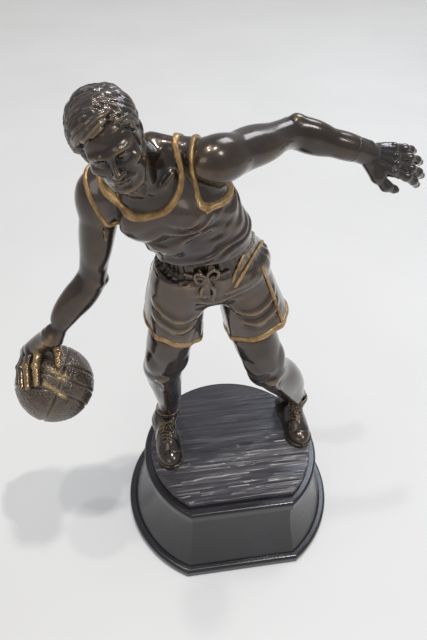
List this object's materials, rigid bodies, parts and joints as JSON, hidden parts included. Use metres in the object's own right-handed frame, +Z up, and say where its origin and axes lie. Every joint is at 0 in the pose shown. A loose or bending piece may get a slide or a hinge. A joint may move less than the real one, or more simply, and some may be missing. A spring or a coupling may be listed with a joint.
{
  "type": "basketball trophy",
  "caption": "Bronze-finished cast basketball player bouncing a ball, standing on a plank-textured court deck over a flared, weighted black base with a flat front facet.",
  "frame": {"origin": "middle of the round base, on the face of the felt pad that rests on the shelf", "axes": "+Z up, -Y out of the base's flat front facet, which is the side the figure faces; the ball hand is on the -X side"},
  "size_m": [0.1552, 0.0928, 0.2202],
  "materials": {
    "bronze_figure": "satin",
    "gold_trim": "satin",
    "bronze_ball": "gloss",
    "black_base": "satin",
    "court_wood_grain": "satin",
    "plaster_ballast": "matte",
    "hardboard_cover": "matte",
    "felt": "matte",
    "steel_fasteners": "satin"
  },
  "bodies": {
    "root": {"right_leg": "bronze_figure", "left_leg": "bronze_figure", "shorts": "bronze_figure", "torso": "bronze_figure", "head": "bronze_figure", "right_arm": "bronze_figure", "left_arm": "bronze_figure", "right_hand": "bronze_figure", "left_hand": "bronze_figure", "right_shoe": "bronze_figure", "left_shoe": "bronze_figure", "ball": "bronze_ball", "base_shell": "black_base", "court_deck": "court_wood_grain", "ballast": "plaster_ballast", "bottom_cover": "hardboard_cover", "felt_pad": "felt", "cover_screws": "steel_fasteners", "deck_screws": "steel_fasteners", "foot_studs": "steel_fasteners", "stud_washers": "steel_fasteners", "stud_nuts": "steel_fasteners", "neck_dowel": "steel_fasteners", "shoulder_dowels": "steel_fasteners", "waist_dowel": "steel_fasteners", "hip_dowels": "steel_fasteners", "ankle_dowels": "steel_fasteners", "wrist_dowels": "steel_fasteners", "ball_dowel": "steel_fasteners"}
  },
  "joints": []
}
